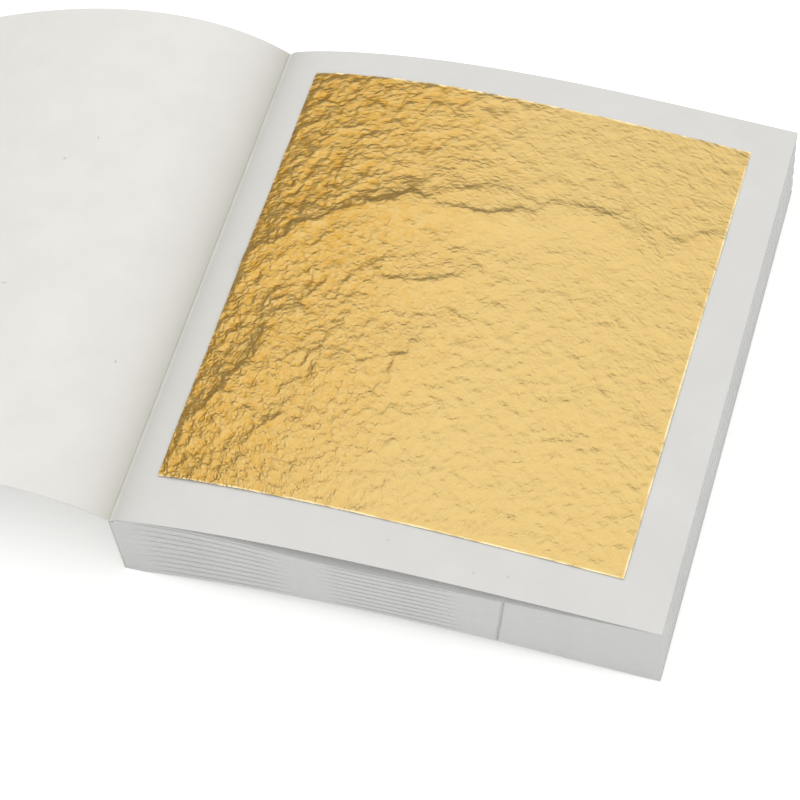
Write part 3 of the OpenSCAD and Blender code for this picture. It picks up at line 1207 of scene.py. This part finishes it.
# %% Make the gold on leaves 2 to 10
SECOND_GRID = (160, 160)
LOWER_SHEET_GRID = (60, 60)
BELOW_AIR = 0.005 * MM
# Relief in mm that a pressed sheet keeps, the most that the second may have, and its air
PRESSED = 0.02
MOST_BELOW = 0.14
ARCH_AIR = 0.06
SEED_STEP = 3.1

second_rows, _ = edge_rows(loose_sheets("interleaf_02")[0])


def room_under_arch(x, y):
    """Relief that the second sheet may have under the first leaf's arch, in mm."""
    above = height_on(top_rows, x * MM, y * MM)
    below = height_on(second_rows, x * MM, y * MM) + PAPER
    return np.clip((above - below) / MM - ARCH_AIR, PRESSED, MOST_BELOW)


def pressed_relief(leaf):
    """The relief of the pressed sheet on a leaf, in mm, never more than it has room for."""
    def relief(x, y, from_edge):
        u, v = fold_places(x, y)
        most = room_under_arch(x, y) if leaf == 2 else PRESSED
        return np.clip(facets(u, v, LARGE[0], leaf * SEED_STEP), 0, 1) * most
    return relief


for leaf in range(2, LOOSE_LEAVES + 1):
    name = f"gold_leaf_{leaf:02d}"
    leaf_rows, _ = edge_rows(loose_sheets(f"interleaf_{leaf:02d}")[0])
    low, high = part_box(name)
    grid = SECOND_GRID if leaf == 2 else LOWER_SHEET_GRID
    place, marks = gold_on(leaf_rows, (low + high) / 2, 0, BELOW_AIR, pressed_relief(leaf))
    sheet = drape(flat_sheet(*grid), place, GOLD_SIZE, GOLD, marks)
    piece = piece_of(f"gold_on_leaf_{leaf:02d}", [sheet], gold)
    add_fold_places(piece)
    stand_for(piece, body_of_node(name), name)

# %% [markdown]
# The ninety sheets in the bundles never show. They have no relief, and a few columns are enough
# to follow the arch of their leaves.

# %% Make the gold in the bundles
BUNDLE_GRID = (40, 1)


def no_relief(x, y, from_edge):
    """The relief of a sheet that is pressed flat."""
    return np.zeros_like(x)


for bundle in range(2, LAST_BUNDLE + 1):
    name = f"gold_bundle_{bundle:02d}"
    papers = loose_sheets(f"paper_bundle_{bundle:02d}")
    sheets = []
    for paper, corners in zip(papers, loose_sheets(name)):
        middle = (corners.min(axis=0) + corners.max(axis=0)) / 2
        place, marks = gold_on(edge_rows(paper)[0], middle, 0, BELOW_AIR, no_relief)
        sheets.append(drape(flat_sheet(*BUNDLE_GRID), place, GOLD_SIZE, GOLD, marks))
    piece = piece_of(f"gold_of_bundle_{bundle:02d}", sheets, gold)
    add_fold_places(piece)
    stand_for(piece, "block", name)

# %% [markdown]
# ## The spine
# The glue is a plain straight piece, so its solid stays and only gets its material.

# %% Finish the glue
for material_slot in frame["nodes"]["spine_glue"].material_slots:
    material_slot.material = padding_glue
print("the glue is", material_slot.material.name)

# %% [markdown]
# The paper strip over the glue is folded in at the top, over the glue and up to the first leaf,
# where it makes the soft valley between the cover and the leaves. Its outline is drawn once as a
# face and extruded along the spine.

# %% Make the spine strip
WRAP = 0.3 * MM
FOLD_RISE = 0.22 * MM
FOLD_CURVE = 1.5
FOLD_STEPS = 6
FOLD_CORNER = 0.12 * MM
LEAF_AIR = 0.08 * MM
OVER_GLUE = 0.01 * MM
UNDER_FOLD = 0.002 * MM

wrap_low, wrap_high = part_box("spine_wrap")
glue_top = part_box("spine_glue")[1].z
strip_end = leaf_root.x - LEAF_AIR
lean = (wrap_high.x - WRAP - wrap_low.x) / wrap_high.z
outer = [(wrap_low.x, 0), (wrap_low.x + lean * (wrap_high.z - WRAP), wrap_high.z - WRAP)]
fold_start = wrap_low.x + lean * wrap_high.z + FOLD_CORNER
top = []
for step in range(FOLD_STEPS + 1):
    share = step / FOLD_STEPS
    x = fold_start + share * (strip_end - wrap_high.x + WRAP - FOLD_CORNER)
    top.append((x, glue_top + OVER_GLUE + FOLD_RISE * share ** FOLD_CURVE))
under = glue_top + UNDER_FOLD
inner = [(strip_end, under), (wrap_high.x, under), (wrap_low.x + WRAP, 0)]

bm = bmesh.new()
outline = [bm.verts.new((x, wrap_low.y, z)) for x, z in outer + top + inner]
face = bm.faces.new(outline)
grown = bmesh.ops.extrude_face_region(bm, geom=[face])["geom"]
far_end = [part for part in grown if isinstance(part, bmesh.types.BMVert)]
bmesh.ops.translate(bm, verts=far_end, vec=(0, wrap_high.y - wrap_low.y, 0))
bmesh.ops.recalc_face_normals(bm, faces=bm.faces[:])
stand_for(piece_of("spine_strip", [bm], spine_paper), "block", "spine_wrap")
